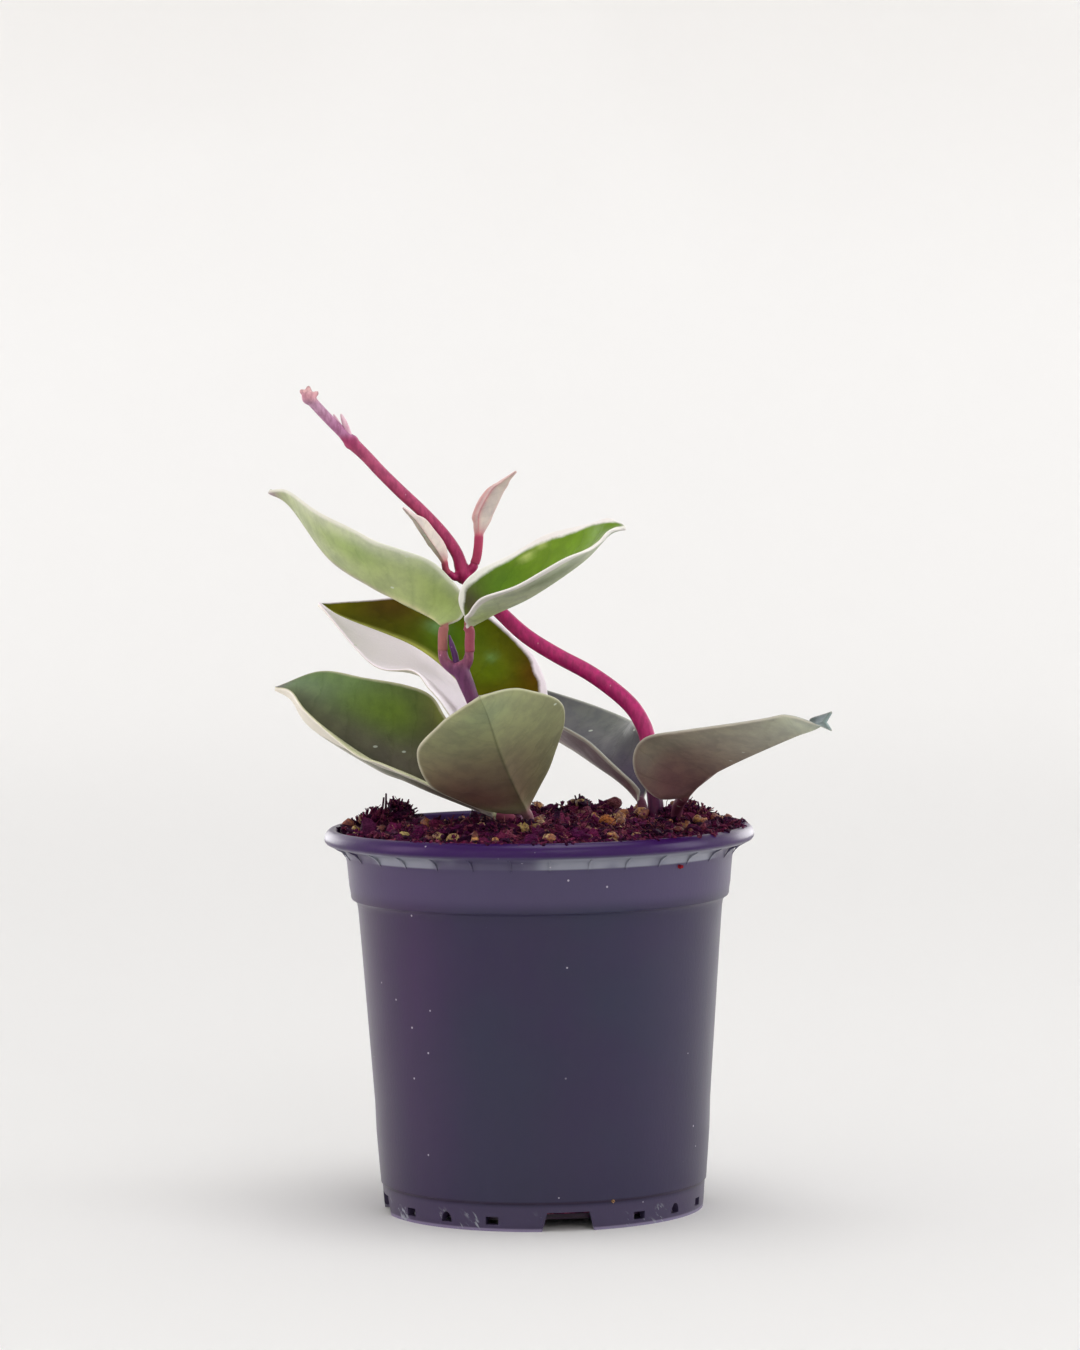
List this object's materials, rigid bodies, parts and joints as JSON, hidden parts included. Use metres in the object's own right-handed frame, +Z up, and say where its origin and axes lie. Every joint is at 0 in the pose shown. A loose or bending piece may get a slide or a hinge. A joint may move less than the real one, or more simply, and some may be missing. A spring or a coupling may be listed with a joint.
{
  "type": "potted krimson queen hoya",
  "caption": "Round tapered nursery pot of bark mix with rooted cuttings of a waxy climbing vine: thick folded cream-edged leaves and a long arching magenta stem.",
  "frame": {"origin": "on the pot's axis at the level of its foot, which is also the middle of the whole object's plan", "axes": "+Z up along the pot's axis; -Y is the front, which the lowest pair of leaves leans towards; +X to the right seen from the front"},
  "size_m": [0.1355, 0.1233, 0.2017],
  "materials": {
    "pot": "semi-gloss moulded slate violet",
    "mix": "matte loose bark and coir with a few golden granules",
    "stem": "satin purple skin",
    "vine": "satin magenta skin",
    "leaf_green": "waxy satin green with cream edges",
    "leaf_pale": "satin pale underside with cream edges",
    "leaf_young": "soft satin salmon and cream"
  },
  "bodies": {
    "root": {"pot": "pot", "potting_mix": "mix", "left_stem": "stem", "right_vine": "vine", "leaf_low_left": "leaf_green", "leaf_low_front": "leaf_pale", "leaf_middle_back": "leaf_green", "leaf_top_left": "leaf_pale", "leaf_top_right": "leaf_green", "leaf_right_front": "leaf_pale", "leaf_right_back": "leaf_green", "young_leaf_left": "leaf_young", "young_leaf_right": "leaf_young"}
  },
  "joints": []
}
